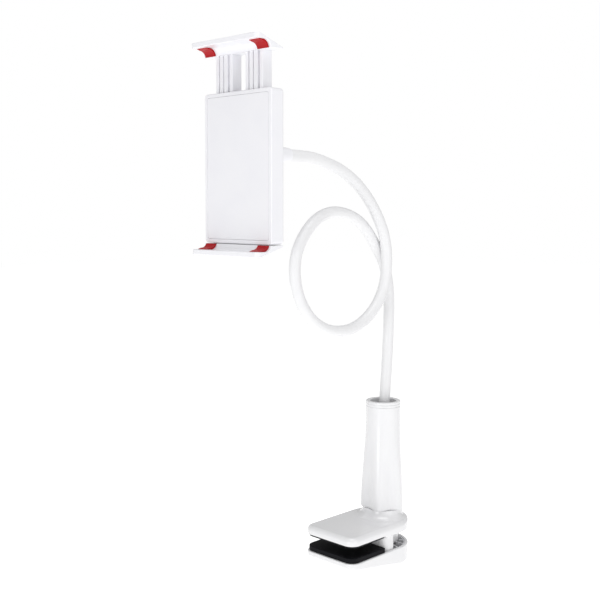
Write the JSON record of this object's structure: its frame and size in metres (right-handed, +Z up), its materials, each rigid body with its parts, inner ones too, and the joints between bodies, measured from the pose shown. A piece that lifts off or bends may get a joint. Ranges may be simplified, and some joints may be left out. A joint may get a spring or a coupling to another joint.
{
  "type": "phone stand",
  "caption": "Clamp-on phone and tablet stand: a desk clamp closed by a twist handle, a bendable looped arm and a sprung grip on a ball joint.",
  "frame": {"origin": "centre of the upper pad's underside, where the clamp rests on a desk top", "axes": "+Z up along the column, -Y the way the clamp opens and the grip faces, X across both"},
  "size_m": [0.0794, 0.2134, 0.4565],
  "materials": {
    "white_gloss": "glossy white moulded plastic",
    "white_clip": "satin cool-white moulded plastic",
    "white_jacket": "smooth soft white jacket",
    "grey_plastic": "pale grey satin plastic",
    "liner_plastic": "natural nylon",
    "black_rubber": "matte black rubber",
    "red_rubber": "soft red rubber",
    "steel": "bright zinc-plated steel",
    "arm_steel": "oiled steel"
  },
  "bodies": {
    "clamp": {"upper_jaw": "white_gloss", "upper_pad": "black_rubber", "guide_block": "white_gloss", "clamp_screws": "steel", "core_tube": "grey_plastic", "arm_grub_screw": "steel", "thrust_washer": "liner_plastic", "arm_jacket_foot": "white_jacket", "arm_core_foot": "arm_steel"},
    "handle": {"handle_sleeve": "white_gloss", "handle_ring": "white_gloss", "drive_nut": "grey_plastic"},
    "lower_jaw": {"lower_jaw": "white_gloss", "lower_pad": "black_rubber", "lift_ring": "steel", "leg_screws": "steel", "jaw_cover": "white_gloss", "pocket_insert": "grey_plastic"},
    "arm_base": {"arm_jacket_base": "white_jacket", "arm_core_base": "arm_steel"},
    "arm_rise": {"arm_jacket_rise": "white_jacket", "arm_core_rise": "arm_steel"},
    "arm_loop": {"arm_jacket_loop": "white_jacket", "arm_core_loop": "arm_steel"},
    "arm_reach": {"arm_jacket_reach": "white_jacket", "arm_core_reach": "arm_steel", "arm_ferrule": "white_clip", "ball_stud": "steel"},
    "ball_liner_front": {"ball_liner_front": "liner_plastic"},
    "ball_liner_rear": {"ball_liner_rear": "liner_plastic"},
    "ball_nut": {"ball_nut": "white_clip"},
    "clip": {"back_shell": "white_clip", "front_cover": "white_clip", "cover_screws": "steel", "bottom_jaw": "white_clip", "bottom_jaw_screws": "steel", "bottom_pad_left": "red_rubber", "bottom_pad_right": "red_rubber", "spring_posts": "white_clip", "spring_left": "steel", "spring_right": "steel"},
    "slider": {"top_jaw": "white_clip", "top_jaw_screws": "steel", "top_pad_left": "red_rubber", "top_pad_right": "red_rubber", "rail_left": "white_clip", "rail_right": "white_clip", "spring_anchors": "steel"}
  },
  "joints": [
    {"name": "handle_turn", "type": "hinge", "parent": "clamp", "child": "handle", "pos_m": [0, 0.053, 0.06], "axis": [0, 0, 1], "range_deg": [-680, 3600]},
    {"name": "jaw_travel", "type": "slide", "parent": "clamp", "child": "lower_jaw", "axis": [0, 0, 1], "range_m": [-0.0451, 0.0086]},
    {"name": "arm_lean", "type": "hinge", "parent": "clamp", "child": "arm_base", "pos_m": [-0.00075, 0.05725, 0.1315], "axis": [1, 0, 0], "range_deg": [-18, 18]},
    {"name": "arm_sway", "type": "hinge", "parent": "arm_base", "child": "arm_rise", "pos_m": [-0.00275, 0.064, 0.1955], "axis": [0, 1, 0], "range_deg": [-18, 18]},
    {"name": "loop_open", "type": "hinge", "parent": "arm_rise", "child": "arm_loop", "pos_m": [0.0005, -0.063, 0.238], "axis": [1, 0, 0], "range_deg": [-8, 8]},
    {"name": "reach_bend", "type": "hinge", "parent": "arm_loop", "child": "arm_reach", "pos_m": [0.0035, 0.01775, 0.31125], "axis": [1, 0, 0], "range_deg": [-12, 12]},
    {"name": "clip_tilt", "type": "hinge", "parent": "arm_reach", "child": "ball_liner_front", "pos_m": [-0.002, -0.096, 0.3387], "axis": [1, 0, 0], "range_deg": [-16, 16]},
    {"name": "clip_yaw", "type": "hinge", "parent": "ball_liner_front", "child": "ball_liner_rear", "pos_m": [-0.002, -0.096, 0.3387], "axis": [0, 0, 1], "range_deg": [-20, 20]},
    {"name": "clip_roll", "type": "hinge", "parent": "ball_liner_rear", "child": "clip", "pos_m": [-0.002, -0.096, 0.3387], "axis": [0, 1, 0], "continuous": true},
    {"name": "ball_nut_turn", "type": "hinge", "parent": "clip", "child": "ball_nut", "pos_m": [-0.002, -0.096, 0.3387], "axis": [0, 1, 0], "range_deg": [0, 90]},
    {"name": "clip_slide", "type": "slide", "parent": "clip", "child": "slider", "axis": [0, 0, 1], "range_m": [0, 0.055], "stiffness_N_per_m": 60, "springref_m": -0.04, "deforming": ["spring_left", "spring_right"]}
  ],
  "couplings": [
    {"joint": "jaw_travel", "follows": "handle_turn", "m_per_rad": -0.0007162}
  ]
}
